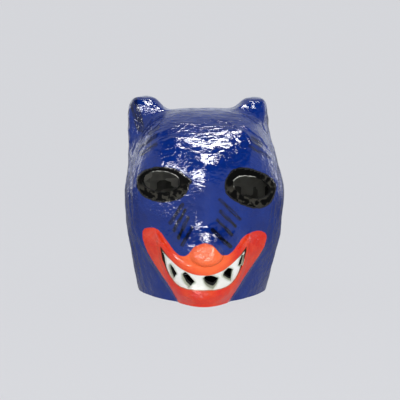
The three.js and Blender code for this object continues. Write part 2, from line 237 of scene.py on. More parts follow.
def linear(code):
    """Scene-linear red, green and blue of an sRGB hex colour."""
    parts = [int(code[i:i + 2], 16) / 255 for i in (1, 3, 5)]
    return tuple(c / 12.92 if c <= 0.04045 else ((c + 0.055) / 1.055) ** 2.4 for c in parts)


# Form of the helmet, all in millimetres


def smooth(low, high, value):
    """0 below low and 1 above high, with a cubic between them."""
    t = np.clip((value - low) / (high - low), 0, 1)
    return t * t * (3 - 2 * t)


def power(value, exponent):
    """Size of a value, raised to a power."""
    return np.abs(value) ** exponent


def rounded_max(a, b, blend):
    """The larger of two values, rounded over a blend width by a parabola."""
    t = np.clip(0.5 + 0.5 * (a - b) / blend, 0, 1)
    return b + (a - b) * t + blend * t * (1 - t)


def along(stations, share):
    """Cubic curve through stations, each slope that of the line between its neighbours."""
    x, y = np.array(stations, float).T
    last = len(x) - 1
    i = np.searchsorted(x[1:-1], share)
    before = np.maximum(i - 1, 0)
    after = np.minimum(i + 2, last)
    span = x[i + 1] - x[i]
    slope0 = (y[i + 1] - y[before]) / (x[i + 1] - x[before])
    slope1 = (y[after] - y[i]) / (x[after] - x[i])
    t = np.clip((share - x[i]) / span, 0, 1)
    ends = y[i] * (1 + 2 * t) * (1 - t) ** 2 + y[i + 1] * t * t * (3 - 2 * t)
    return ends + span * (slope0 * t * (1 - t) ** 2 - slope1 * t * t * (1 - t))


def plan(z):
    """Middle, half width, front depth, back depth and front corner power of the helmet's level section."""
    below = power(1 - np.minimum(z, WIDEST_HEIGHT) / WIDEST_HEIGHT, JAW_FLARE_POWER)
    side = (HEAD_WIDTH - (HEAD_WIDTH - RIM_WIDTH) * below) / 2
    front = BROW_DEPTH - (BROW_DEPTH - RIM_FRONT_DEPTH) * below
    back = BACK_DEPTH - (BACK_DEPTH - RIM_BACK_DEPTH) * below
    upwards = smooth(0, WIDEST_HEIGHT, np.maximum(0, z))
    corner = JAW_CORNER_POWER + (FACE_CORNER_POWER - JAW_CORNER_POWER) * upwards
    return RIM_SIDEWAYS * below, side, front, back, corner


def helmet_field(x, y, z):
    """Zero on the helmet without ears and negative inside.

    It is a superellipse of x and of the profile, which is itself a superellipse of y and the height.
    """
    middle, side, front, back, corner = plan(z)
    above = smooth(WIDEST_HEIGHT, SHOULDER_HEIGHT, z)
    half = side - (side - SHOULDER_WIDTH / 2) * above
    n = np.where(y < 0, corner, BACK_CORNER_POWER)
    n = n + (CROWN_CORNER_POWER - n) * above
    depth = np.where(y < 0, front, back)
    rise = np.maximum(0, z - WIDEST_HEIGHT) / (CROWN_HEIGHT - WIDEST_HEIGHT)
    profile = (power(y / depth, CROWN_POWER) + power(rise, CROWN_POWER)) ** (1 / CROWN_POWER)
    return ((power((x - middle) / half, n) + power(profile, n)) ** (1 / n) - 1) * FIELD_REACH


def lump_field(x, y, z, middle, half, exponent):
    """Zero on an oval lump: the root of the summed powers of the three shares of its half sizes, less one."""
    r = sum(power((v - m) / h, exponent) for v, m, h in zip((x, y, z), middle, half))
    return (r ** (1 / exponent) - 1) * min(half)


def skin_field(x, y, z):
    """Helmet joined smoothly to both ears, each ear hollowed by a shallow oval dent."""
    field = helmet_field(x, y, z)
    for ear in EARS:
        half = (ear["width"] / 2, EAR_THICKNESS / 2, ear["top"] - EAR_ROOT)
        hump = lump_field(x, y, z, (ear["middle"], EAR_SETBACK, EAR_ROOT), half, EAR_CORNER_POWER)
        dent_half = (ear["dent_size"][0] / 2, ear["dent_size"][1] / 2, EAR_DENT_LENGTH / 2)
        dent = lump_field(x, y, z, (*ear["dent"], EAR_DENT_HEIGHT), dent_half, 2)
        field = -rounded_max(-field, -hump, EAR_BLEND)
        field = rounded_max(field, -dent, EAR_DENT_BLEND)
    return field


def cast(start, direction, layer):
    """Distance along rays from inside the helmet to a layer of its field, by halving the interval."""
    near = np.zeros(len(start))
    far = np.full(len(start), 2 * BACK_DEPTH)
    for _ in range(26):
        middle = (near + far) / 2
        inside = skin_field(*(start + direction * middle[:, None]).T) < -layer
        near = np.where(inside, middle, near)
        far = np.where(inside, far, middle)
    return (near + far) / 2


def plain_depth(x, z):
    """Depth of the plain face in front of the axis."""
    start = np.stack([x, np.zeros_like(x), z], 1)
    return cast(start, np.array([0.0, -1.0, 0.0]), 0)


def upper_curve(x):
    """Height of the smile's upper edge: its middle height plus a power of the distance sideways."""
    return MOUTH_TOP + UPPER_CORNER_RISE * power((x - MOUTH_MIDDLE) / MOUTH_HALF_WIDTH, UPPER_CURVE_POWER)


def lower_curve(x):
    """Height of the smile's lower edge."""
    return MOUTH_BOTTOM + LOWER_CORNER_RISE * power((x - MOUTH_MIDDLE) / MOUTH_HALF_WIDTH, LOWER_CURVE_POWER)


def muzzle_depth(x, z):
    """Depth of the muzzle: a parabola across, down to an edge proud of the face, then a steep side."""
    share = z / CROWN_HEIGHT
    middle = along(MUZZLE_MIDDLE, share)
    half = along(MUZZLE_HALF_WIDTH, share)
    _, side, front, _, corner = plan(z)
    at_edge = front * (1 - power(np.minimum(half / side, 1), corner)) ** (1 / corner)
    edge = np.minimum(at_edge + along(MUZZLE_EDGE_STEP, share), middle)
    across = np.abs(x - MOUTH_MIDDLE) / half
    inside = middle - (middle - edge) * across ** 2
    return np.where(across < 1, inside, edge - MUZZLE_SIDE_SLOPE * half * (across - 1))


def bridge_depth(x, z):
    """Depth of the nose's ridge, falling off to each side as a power of the distance."""
    across = power((x - NOSE_MIDDLE[0]) / BRIDGE_HALF_WIDTH, BRIDGE_POWER)
    return along(BRIDGE_MIDDLE, z / CROWN_HEIGHT) - BRIDGE_FALL * across


def oval_radius(oval, x, z, exponent=2.0):
    """0 in the middle of a tilted oval and 1 on its edge."""
    cx, cz, half_length, half_height, tilt = oval[:5]
    u = (x - cx) * math.cos(tilt) + (z - cz) * math.sin(tilt)
    v = (z - cz) * math.cos(tilt) - (x - cx) * math.sin(tilt)
    return (power(u / half_length, exponent) + power(v / half_height, exponent)) ** (1 / exponent)


def broad_depth(x, z, plain):
    """Snout, bridge and eye sockets on the plain face."""
    snout = rounded_max(muzzle_depth(x, z), bridge_depth(x, z), BRIDGE_BLEND)
    depth = rounded_max(plain, snout, SNOUT_BLEND)
    for socket in EYE_SOCKETS:
        outwards = smooth(SOCKET_FLOOR_SHARE, SOCKET_EDGE_SHARE, oval_radius(socket, x, z))
        depth = depth - SOCKET_DEPTH * (1 - outwards)
    return depth


def nose_depth(x, z):
    """Depth of the nose ball: a plane leaning back and to one side, less a power of the share of its oval."""
    dx, dz = x - NOSE_MIDDLE[0], z - NOSE_MIDDLE[1]
    share = np.minimum(np.hypot(dx / NOSE_HALF_SIZE[0], dz / NOSE_HALF_SIZE[1]), 2.0)
    return NOSE_FRONT + NOSE_LEAN[0] * dx + NOSE_LEAN[1] * dz - NOSE_FALL * share ** NOSE_POWER


def carved_depth(x, z, plain):
    """The broad forms with the nose ball and the raised lips on them, the lower lip wider than the upper."""
    over_mouth = 1 - smooth(*LIP_FADE, np.abs(x - MOUTH_MIDDLE) / MOUTH_HALF_WIDTH)
    above, below = z - upper_curve(x), (lower_curve(x) - z) / LOWER_LIP_STRETCH
    from_smile = np.maximum(np.maximum(above, below), 0) / LIP_WIDTH
    lips = LIP_RISE * over_mouth * (1 - smooth(LIP_FLAT_SHARE, LIP_END_SHARE, from_smile))
    return rounded_max(broad_depth(x, z, plain) + lips, nose_depth(x, z), NOSE_BLEND)


def facing(points):
    """How far the face's forms count: 0 beside and behind the axis, 1 well in front of it."""
    return smooth(*FACE_STRETCH, -points[:, 1])


def layer_points(turn, up, layer):
    """Points of a layer for turns and shares upwards: 0 at the rim, 1 at the widest height, 2 on top."""
    lift = np.maximum(0, up - 1) * math.pi / 2
    start = np.stack([np.zeros_like(up), np.zeros_like(up), np.minimum(up, 1) * WIDEST_HEIGHT], 1)
    level = np.cos(lift)
    direction = np.stack([np.sin(turn) * level, -np.cos(turn) * level, np.sin(lift)], 1)
    return start + direction * cast(start, direction, layer)[:, None]


def skin_points(turn, up):
    """The outer skin: the plain layer, with the face's depth put in place of its own."""
    points = layer_points(turn, up, 0)
    carved = carved_depth(points[:, 0], points[:, 2], -points[:, 1])
    points[:, 1] -= (carved + points[:, 1]) * facing(points)
    return points


def lining_points(turn, up):
    """The lining: a wall deeper than the skin, and deeper still where the face's forms are steep."""
    points = layer_points(turn, up, WALL)

    def rise(x, z):
        plain = plain_depth(x, z)
        return broad_depth(x, z, plain) - plain

    x, z = points[:, 0], points[:, 2]
    across = (rise(x + WALL, z) - rise(x - WALL, z)) / (2 * WALL)
    upward = (rise(x, z + WALL) - rise(x, z - WALL)) / (2 * WALL)
    slant = WALL * (np.sqrt(1 + across ** 2 + upward ** 2) - 1)
    points[:, 1] -= np.where(facing(points) > 0, (rise(x, z) - slant) * facing(points), 0)
    return points


def face_points(x, z):
    """Points on the carved face."""
    return np.stack([x, -carved_depth(x, z, plain_depth(x, z)), z], 1)


def column_turns(columns):
    """Turns of the columns, closest together across the face and furthest apart behind."""
    face, side, back = columns
    limits = (-FACE_HALF_TURN, FACE_HALF_TURN, SIDE_HALF_TURN, 2 * math.pi - SIDE_HALF_TURN,
              2 * math.pi - FACE_HALF_TURN)
    spans = zip(limits[:-1], limits[1:], (face, side, back, side))
    return np.concatenate([np.linspace(low, high, count, endpoint=False) for low, high, count in spans])


def grid_of(columns, rows, points_of):
    """A layer as rings from the rim to just below the crown."""
    below, above = rows
    ups = np.concatenate([np.arange(below) / below, 1 + np.arange(above) / above])
    turns = column_turns(columns)
    up, turn = np.meshgrid(ups, turns, indexing="ij")
    return points_of(turn.ravel(), up.ravel()).reshape(len(ups), len(turns), 3)


# Relief of the paper


def gradient_noise(points, size, seed):
    """Random slopes on a lattice of cells of a size, blended by the fifth-power fade: about -1 to 1."""
    draw = np.random.default_rng(seed)
    slopes = draw.normal(size=(256, 3))
    slopes /= np.linalg.norm(slopes, axis=1, keepdims=True)
    order = draw.permutation(256)
    scaled = points / size
    cell = np.floor(scaled).astype(int)
    part = scaled - cell
    fade = part ** 3 * (part * (part * 6 - 15) + 10)
    total = np.zeros(len(points))
    for corner in itertools.product((0, 1), repeat=3):
        at = cell + corner
        key = order[(order[(order[at[:, 0] % 256] + at[:, 1]) % 256] + at[:, 2]) % 256]
        lean = ((part - corner) * slopes[key]).sum(1)
        total += np.prod(np.where(np.array(corner, bool), fade, 1 - fade), axis=1) * lean
    return 1.6 * total


def creases(points, size, seed, stretch=(1.0, 1.0, 1.0)):
    """Narrow ridges where the noise changes sign, 1 on a ridge and below 0 between them."""
    return 1 - 3.2 * np.abs(gradient_noise(points * np.array(stretch), size, seed))


def grid_normals(grid):
    """Outward directions of a grid of rings from the cross product of its two differences."""
    around = np.roll(grid, -1, axis=1) - np.roll(grid, 1, axis=1)
    upward = np.gradient(grid, axis=0)
    normal = np.cross(around, upward)
    return normal / np.linalg.norm(normal, axis=2, keepdims=True)


def fold_lines(points):
    """1 on the long folds, falling off beside them as a bell curve of the distance to the nearest line."""
    nearest = np.full(len(points), np.inf)
    for line in FOLD_LINES:
        for start, end in zip(np.array(line[:-1]), np.array(line[1:])):
            along_it = end - start
            t = np.clip((points - start) @ along_it / (along_it @ along_it), 0, 1)
            nearest = np.minimum(nearest, np.linalg.norm(points - start - t[:, None] * along_it, axis=1))
    return np.exp(-(nearest / FOLD_WIDTH) ** 2)


def paper_relief(points, form):
    """Height of the paper's lumps, torn-strip creases and folds in millimetres.

    Lumps are plain noise. Creases are ridged noise. Folds are ridged noise drawn out upwards on the sides and
    sideways over the crown, each weighed by how far a place lies on the side or on the crown.
    """
    side = smooth(75, 125, np.abs(points[:, 0])) + smooth(20, 90, points[:, 1])
    crown = smooth(225, 275, points[:, 2])
    height = form.lump_height * 1000 * gradient_noise(points, 36, 11)
    height += 0.5 * form.lump_height * 1000 * gradient_noise(points, 17, 12)
    height += form.crease_height * 1000 * creases(points, 21, 13)
    height += 0.45 * form.crease_height * 1000 * creases(points, 9.5, 14)
    fold = form.fold_height * 1000
    height += fold * np.clip(side, 0, 1) * creases(points, 26, 15, (1.0, 1.0, 0.3))
    height += fold * 0.7 * crown * creases(points, 24, 16, (0.3, 1.0, 1.0))
    height += form.line_height * 1000 * fold_lines(points + 2.0 * gradient_noise(points, 15, 17)[:, None])
    return height


def embossed(grid, form):
    """A grid moved along its normals by the paper's relief, its rim kept level."""
    points = grid.reshape(-1, 3)
    move = grid_normals(grid).reshape(-1, 3) * paper_relief(points, form)[:, None]
    move[:, 2] *= smooth(0, 8, points[:, 2])
    return (points + move).reshape(grid.shape)


# Meshes


def ring_body(rings, first_middle, last_middle):
    """Points and triangles of a closed body from rings, with a fan at each end."""
    rows, count = rings.shape[:2]
    a = np.arange(rows * count - count)
    b = a - a % count + (a + 1) % count
    i = np.arange(count)
    after = (i + 1) % count
    top = (rows - 1) * count
    low = np.full(count, rows * count)
    triangles = np.concatenate([
        np.stack([a, b, b + count], 1), np.stack([a, b + count, a + count], 1),
        np.stack([low, after, i], 1), np.stack([low + 1, top + i, top + after], 1),
    ])
    return np.vstack([rings.reshape(-1, 3), first_middle, last_middle]), triangles


def solid(name, points, triangles, slots, slot):
    """An object in metres from points in millimetres, all its faces in one material slot."""
    mesh = bpy.data.meshes.new(name)
    mesh.from_pydata((points * MM).tolist(), [], triangles.tolist())
    for material in slots:
        mesh.materials.append(material)
    mesh.polygons.foreach_set("material_index", np.full(len(triangles), slot, np.int32))
    mesh.update()
    made = bpy.data.objects.new(name, mesh)
    bpy.context.scene.collection.objects.link(made)
    return made


def cut(target, operands):
    """Takes closed bodies out of a target, one after the other, and leaves the result as its mesh."""
    for operand in operands:
        step = target.modifiers.new("cut", "BOOLEAN")
        step.operation = "DIFFERENCE"
        step.solver = "MANIFOLD"
        step.object = operand
    graph = bpy.context.evaluated_depsgraph_get()
    result = bpy.data.meshes.new_from_object(target.evaluated_get(graph))
    target.modifiers.clear()
    target.data = result
    for operand in operands:
        bpy.data.objects.remove(operand)
    if len(result.polygons) < 4:
        raise RuntimeError("The cuts left nothing of " + target.name)


def plug(outline, slant=(0.0, 0.0), bed=0.0):
    """A body whose outline lies on the face, or on a bed behind it, driven square through the wall.

    Behind the outline it may lean sideways and upwards by the slant's share of the depth.
    """
    x, z = np.array(outline, float).T
    ring = face_points(x, z) + (0, bed, 0)
    middle = ring.mean(0)
    reach = 6.0
    near = np.array([reach, -reach, 0, 0])
    high = np.array([0, 0, reach, -reach])
    y = face_points(middle[0] + near, middle[2] + high)[:, 1]
    normal = np.array([(y[0] - y[1]) / (2 * reach), -1, (y[2] - y[3]) / (2 * reach)])
    normal /= np.linalg.norm(normal)
    inward = 2 * CUT_CLEARANCE * (np.array([slant[0], 0, slant[1]]) - normal)
    outward = CUT_CLEARANCE * normal
    return ring_body(np.stack([ring + inward, ring, ring + outward]), middle + inward, middle + outward)


def eye_outline(oval, seed):
    """The eye's oval, its torn edge wavering by under a millimetre."""
    angle = np.linspace(0, 2 * math.pi, PLANE_POINTS, endpoint=False)
    waver = gradient_noise(np.stack([np.cos(angle), np.sin(angle), 0 * angle], 1) * 20, 5, seed)
    u = (oval[2] + 0.8 * waver) * np.cos(angle)
    v = (oval[3] + 0.8 * waver) * np.sin(angle)
    return np.stack([oval[0] + u * math.cos(oval[4]) - v * math.sin(oval[4]),
                     oval[1] + u * math.sin(oval[4]) + v * math.cos(oval[4])], 1)


def softened(corners, rounds, share=0.25):
    """A closed outline with each corner cut at a share of its sides, several times over."""
    outline = np.array(corners, float)
    for _ in range(rounds):
        after = np.roll(outline, -1, axis=0)
        near = (1 - share) * outline + share * after
        far = share * outline + (1 - share) * after
        outline = np.stack([near, far], 1).reshape(-1, 2)
    return outline


def gap_outline(corners):
    """A tooth gap's corners from shares of the mouth, run anticlockwise and slightly rounded."""
    share, across = np.array(corners).T
    x = MOUTH_MIDDLE + share * MOUTH_HALF_WIDTH
    z = lower_curve(x) + across * (upper_curve(x) - lower_curve(x))
    outline = np.stack([x, z], 1)
    after = np.roll(outline, -1, axis=0)
    area = (outline[:, 0] * after[:, 1] - after[:, 0] * outline[:, 1]).sum()
    return softened(outline if area > 0 else outline[::-1], 1, 0.1)


def smile_strip():
    """A strip as wide as the smile, driven through the face from front to back."""
    x = MOUTH_MIDDLE + MOUTH_HALF_WIDTH * np.linspace(-1, 1, SMILE_STEPS + 1)
    lower, upper = face_points(x, lower_curve(x)), face_points(x, upper_curve(x))
    back = np.array([0, CUT_CLEARANCE, 0])
    rings = [lower - back, lower + back, upper + back, upper - back]
    count = len(x)
    i = np.arange(count - 1)
    triangles = []
    for a, b in ((0, 1), (1, 2), (2, 3), (3, 0)):
        a, b = a * count + i, b * count + i
        triangles += [np.stack([a, b + 1, a + 1], 1), np.stack([a, b, b + 1], 1)]
    end = count - 1
    ends = [(0, 2 * count, count), (0, 3 * count, 2 * count),
            (end, count + end, 2 * count + end), (end, 2 * count + end, 3 * count + end)]
    return np.vstack(rings), np.vstack(triangles + [ends])


# Paint maps


def outline_depth(x, z, corners):
    """Distance to a closed outline, above zero inside it: the nearest side, and the parity of crossings."""
    nearest = np.full(x.shape, np.inf)
    inside = np.zeros(x.shape, bool)
    for (x0, z0), (x1, z1) in zip(corners, np.roll(corners, -1, axis=0)):
        dx, dz = x1 - x0, z1 - z0
        t = np.clip(((x - x0) * dx + (z - z0) * dz) / (dx * dx + dz * dz), 0, 1)
        nearest = np.minimum(nearest, np.hypot(x - x0 - t * dx, z - z0 - t * dz))
        if dz:
            inside ^= ((z0 > z) != (z1 > z)) & (x < x0 + (z - z0) * dx / dz)
    return np.where(inside, nearest, -nearest)


def smile_depth(x, z):
    """Distance in from the smile's edge, from both curves squared to their slope and from its two ends."""
    step = 0.5
    depth = MOUTH_HALF_WIDTH - np.abs(x - MOUTH_MIDDLE)
    for curve, sign in ((upper_curve, 1), (lower_curve, -1)):
        slope = (curve(x + step) - curve(x - step)) / (2 * step)
        depth = np.minimum(depth, sign * (curve(x) - z) / np.sqrt(1 + slope ** 2))
    return depth


def stroke_map(x, z):
    """For the nearest stroke: place across and along it in millimetres, depth in from its edge, strength."""
    best = np.full(x.shape, -FAR)
    across, along_it, strength = np.zeros_like(x), np.zeros_like(x), np.zeros_like(x)
    for i, (x0, z0, x1, z1, width, force) in enumerate(BLACK_STROKES):
        length = math.hypot(x1 - x0, z1 - z0)
        ux, uz = (x1 - x0) / length, (z1 - z0) / length
        s = (x - x0) * ux + (z - z0) * uz
        c = (z - z0) * ux - (x - x0) * uz
        past = np.maximum(np.maximum(-s, s - length), 0)
        depth = width / 2 - np.hypot(c, past)
        closer = depth > best
        best = np.where(closer, depth, best)
        across = np.where(closer, c + 40 * i, across)
        along_it = np.where(closer, s, along_it)
        strength = np.where(closer, force, strength)
    return across, along_it, best, strength


def wrinkle_share(x, z):
    """How strong the net of wrinkles is: slight on the bridge, strong on the nose ball and below the eyes."""
    share = np.ones_like(x)
    for oval, change in WRINKLE_OVALS:
        share += change * (1 - smooth(0.5, 1.1, oval_radius(oval, x, z)))
    return share


def paint_maps(mesh, shift):
    """Stores how deep each vertex lies in each painted area, in millimetres, as attributes of the mesh."""
    count = len(mesh.vertices)
    points = np.empty(count * 3, np.float32)
    mesh.vertices.foreach_get("co", points)
    x, y, z = (points.reshape(-1, 3).astype(float) / MM + shift).T
    front = y < -5
    across, along_it, stroke, strength = stroke_map(x, z)
    near_front = y < 45
    ovals = [(1 - oval_radius(oval, x, z, oval[5])) * min(oval[2:4]) for oval in BLACK_OVALS]
    holes = [(oval_radius(oval, x, z) - 1) * oval[3] for oval in EYE_HOLES]
    # Distance to each eye hole's upper edge, where a highlight is painted on the torn paper
    lid_highlight = np.minimum(*[np.where((z > oval[1]) & (x > span[0]) & (x < span[1]), np.abs(hole), FAR)
                       for oval, hole, span in zip(EYE_HOLES, holes, LID_HIGHLIGHT_SPANS)])
    behind = np.full(count, -FAR)
    mouth = (np.abs(x - MOUTH_MIDDLE) < MOUTH_HALF_WIDTH + 8) & (z > 10) & (z < 110) & (y < -80)
    behind[mouth] = y[mouth] - face_points(x[mouth], z[mouth])[:, 1] - TOOTH_BED_DEPTH
    near_gap = np.full(count, FAR)
    in_gaps = [outline_depth(x[mouth], z[mouth], gap_outline(gap)) for gap in TOOTH_GAPS]
    near_gap[mouth] = -np.max(in_gaps, axis=0)
    on_side = np.clip(smooth(88, 118, np.abs(x)) + smooth(0, 60, y), 0, 1)
    maps = {
        "gap_depth": behind,
        "gap_distance": near_gap,
        "red_depth": np.where(front, outline_depth(x, z, softened(RED_OUTLINE, 2)), -FAR),
        "tooth_depth": np.where(front, smile_depth(x, z), -FAR),
        "socket_depth": np.where(front, np.max(ovals, axis=0), -FAR),
        "stroke_depth": np.where(near_front, stroke, -FAR),
        "stroke_strength": strength,
        "lid_highlight_distance": np.where(front, lid_highlight, FAR),
        "thin_and_lit_red": 1 - smooth(0.4, 1.1, oval_radius(THIN_AND_LIT_RED, x, z)),
        "groove_width": 0.4 + 2.0 * smooth(0.72, 1.0, np.abs(x - MOUTH_MIDDLE) / MOUTH_HALF_WIDTH),
        "wrinkle_share": wrinkle_share(x, z),
        "side_share": on_side * (1 - smooth(290, 315, z)),
        "crown_share": smooth(266, 292, z) * (1 - smooth(90, 118, np.abs(x))),
    }
    for name, values in maps.items():
        mesh.attributes.new(name, "FLOAT", "POINT").data.foreach_set("value", values.astype(np.float32))
    place = np.stack([across, along_it, np.zeros_like(x)], 1).astype(np.float32)
    mesh.attributes.new("stroke_place", "FLOAT_VECTOR", "POINT").data.foreach_set("vector", place.ravel())


# Materials


def blacken_sockets(mesh):
    """Gives the outer faces that lie well inside the eye sockets to the matt black in the last slot."""
    depth = np.empty(len(mesh.vertices), np.float32)
    mesh.attributes["socket_depth"].data.foreach_get("value", depth)
    slots = np.empty(len(mesh.polygons), np.int32)
    starts = np.empty(len(mesh.polygons), np.int32)
    corners = np.empty(len(mesh.loops), np.int32)
    mesh.polygons.foreach_get("material_index", slots)
    mesh.polygons.foreach_get("loop_start", starts)
    mesh.loops.foreach_get("vertex_index", corners)
    inside = np.minimum.reduceat(depth[corners], starts) > SOCKET_INSET
    slots[inside & (slots == 0)] = len(mesh.materials) - 1
    mesh.polygons.foreach_set("material_index", slots)


def add(tree, kind, inputs=None, **settings):
    """Adds one node, with its settings and its socket values or links."""
    made = tree.nodes.new(kind)
    for name, value in settings.items():
        setattr(made, name, value)
    for key, value in (inputs or {}).items():
        if isinstance(value, bpy.types.NodeSocket):
            tree.links.new(value, made.inputs[key])
        else:
            made.inputs[key].default_value = value
    return made


def stored(tree, name):
    """A value that the mesh stores for each vertex."""
    return add(tree, "ShaderNodeAttribute", attribute_name=name).outputs["Fac"]


def maths(tree, operation, *values, clamp=False):
    """One step of arithmetic."""
    inputs = dict(enumerate(values))
    return add(tree, "ShaderNodeMath", inputs, operation=operation, use_clamp=clamp).outputs[0]


def ranged(tree, value, low, high, to_low=0.0, to_high=1.0, kind="LINEAR"):
    """A value carried from one range to another, and held at its ends."""
    limits = {"From Min": low, "From Max": high, "To Min": to_low, "To Max": to_high}
    return add(tree, "ShaderNodeMapRange", {"Value": value, **limits}, interpolation_type=kind).outputs[0]


def blend(tree, share, under, over):
    """One colour going over to another by a share."""
    colours = [c if isinstance(c, bpy.types.NodeSocket) else (*c, 1) for c in (under, over)]
    return add(tree, "ShaderNodeMix", {0: share, 6: colours[0], 7: colours[1]}, data_type="RGBA").outputs[2]


def scaled(tree, colour, share):
    """A colour times a share."""
    return add(tree, "ShaderNodeVectorMath", {0: colour, "Scale": share}, operation="SCALE").outputs[0]


def noise(tree, place, scale, detail):
    """Plain noise of a place."""
    return add(tree, "ShaderNodeTexNoise", {"Vector": place, "Scale": scale, "Detail": detail}).outputs["Fac"]


def ridges(tree, place, scale, detail):
    """Ridged noise of a place: a net of narrow ridges."""
    shape = {"Roughness": 0.55, "Lacunarity": 2.1, "Offset": 0.9, "Gain": 1.5}
    inputs = {"Vector": place, "Scale": scale, "Detail": detail, **shape}
    kind = "RIDGED_MULTIFRACTAL"
    return add(tree, "ShaderNodeTexNoise", inputs, noise_type=kind, normalize=True).outputs["Fac"]


def stretched(tree, place, scale):
    """A place with its three axes scaled, which draws a pattern out along the axes of small scale."""
    return add(tree, "ShaderNodeMapping", {"Vector": place, "Scale": scale}).outputs[0]


def raised(tree, height, distance, under=None, strength=1.0):
    """Normals of a relief, on top of another relief where one is given."""
    inputs = {"Height": height, "Strength": strength, "Distance": distance}
    if under:
        inputs["Normal"] = under
    return add(tree, "ShaderNodeBump", inputs).outputs[0]


def new_material(name):
    """An empty material with its tree, its output node and the object's own coordinates."""
    material = bpy.data.materials.new(name)
    material.use_nodes = True
    tree = material.node_tree
    tree.nodes.clear()
    output = add(tree, "ShaderNodeOutputMaterial")
    return material, tree, output, add(tree, "ShaderNodeTexCoord").outputs["Object"]


def finish_material(material, tree, output, **inputs):
    """Ends a material in a coat whose inputs are given by their names, with a line for each space."""
    named = {key.replace("_", " "): value for key, value in inputs.items()}
    shader = add(tree, "ShaderNodeBsdfPrincipled", {"IOR": PAINT_IOR, **named})
    tree.links.new(shader.outputs[0], output.inputs[0])
    return material


def brushed_enamel(paint):
    """Gloss alkyd enamel brushed on papier-mache.

    It gives sharp highlights that the paper's wrinkles break up, a thin milky sheen where it mirrors the
    room, deep flat colour below, and dry streaks where the black was brushed out.
    """
    material, tree, output, place = new_material("brushed gloss enamel on papier-mache")
    # Brushed blue: patches about 40 mm across
    patches = ranged(tree, noise(tree, place, 25.0, 3.0), 0.35, 0.65)
    blue = blend(tree, patches, paint.blue, paint.deep_blue)
    # Edges waver by a millimetre over about 9 mm
    waver = maths(tree, "MULTIPLY_ADD", noise(tree, place, 110.0, 3.0), 3.0, -1.5)

    def inside(name, softness, wavering):
        """1 inside a painted area and 0 outside, with a wavering edge."""
        moved = maths(tree, "MULTIPLY_ADD", waver, wavering, stored(tree, name))
        return ranged(tree, moved, -softness, softness, kind="SMOOTHSTEP")

    # Dry strokes: bristle streaks 1.2 mm apart and 25 mm long
    streaks = add(tree, "ShaderNodeAttribute", attribute_name="stroke_place").outputs["Vector"]
    streaks = noise(tree, stretched(tree, streaks, (0.8, 0.05, 1.0)), 1.0, 2.0)
    streaks = maths(tree, "ADD", streaks, -0.5)
    streaks = maths(tree, "MULTIPLY_ADD", streaks, 2.8, stored(tree, "stroke_strength"), clamp=True)
    stroke = maths(tree, "MULTIPLY", inside("stroke_depth", 1.3, 0.9), streaks)
    colour = blend(tree, stroke, blue, paint.black)
    colour = blend(tree, inside("socket_depth", 0.7, 0.9), colour, paint.black)
    # Red over the muzzle, more orange towards the nose, partly thinner red and partly painted light, and in
    # patches about 30 mm across
    thin = maths(tree, "MULTIPLY_ADD", noise(tree, place, 32.0, 3.0), 1.2, stored(tree, "thin_and_lit_red"))
    red = blend(tree, ranged(tree, thin, 0.5, 1.5), paint.red, paint.orange)
    colour = blend(tree, inside("red_depth", 0.6, 0.7), colour, red)
    # A line of painted shade in the groove round the teeth, thin and pale in the middle and wide and brown at
    # the ends
    groove = stored(tree, "groove_width")
    groove_shade = blend(tree, ranged(tree, groove, 0.6, 1.6), linear("#b98a68"), linear("#4e3428"))
    colour = blend(tree, inside("tooth_depth", 0.5, 0.35), colour, groove_shade)
    tooth = maths(tree, "MULTIPLY_ADD", waver, 0.5, stored(tree, "tooth_depth"))
    tooth = ranged(tree, maths(tree, "SUBTRACT", tooth, groove), 0.0, 0.9, kind="SMOOTHSTEP")
    white = blend(tree, patches, paint.white, linear("#eaede4"))
    # Grey-green on the teeth up to about 4 mm from the gaps
    gap_tint = maths(tree, "MULTIPLY_ADD", waver, 1.6, stored(tree, "gap_distance"))
    white = blend(tree, ranged(tree, gap_tint, 3.6, 0.6, to_high=0.6), white, linear("#a9b39a"))
    colour = blend(tree, tooth, colour, white)
    # Wrinkles of the paper skin: a net of ridges 8 mm apart and twice as long sideways
    weight = stored(tree, "wrinkle_share")
    net = ridges(tree, stretched(tree, place, (0.5, 1.0, 1.0)), 125.0, 4.0)
    bump = raised(tree, maths(tree, "MULTIPLY", net, weight), paint.wrinkle_height)
    # Finer crackle 4 mm apart, running up to the right, where the net is strongest
    leaning = {"Vector": place, "Rotation": (0.0, CRACKLE_LEAN, 0.0), "Scale": (2.2, 1.0, 1.0)}
    leaning = add(tree, "ShaderNodeMapping", leaning, vector_type="TEXTURE").outputs[0]
    crackle = ridges(tree, leaning, 240.0, 1.5)
    crackle = maths(tree, "MULTIPLY", crackle, maths(tree, "ADD", weight, -1.0, clamp=True))
    bump = raised(tree, crackle, paint.crackle_height, bump)
    # Long folds 8 mm apart on the sides and the crown
    for share, stretch in (("side_share", (1.0, 1.0, 0.12)), ("crown_share", (0.14, 1.0, 1.0))):
        fold = ridges(tree, stretched(tree, place, stretch), 120.0, 3.0)
        bump = raised(tree, maths(tree, "MULTIPLY", fold, stored(tree, share)), paint.fold_height, bump)
    # Brush marks 3 mm apart
    bump = raised(tree, noise(tree, place, 320.0, 2.0), BRUSH_MARK_HEIGHT, bump)
    rough = ranged(tree, waver, -1.5, 1.5, paint.roughness * 0.7, paint.roughness * 1.4)
    return finish_material(material, tree, output, Base_Color=colour, Roughness=rough, Normal=bump)


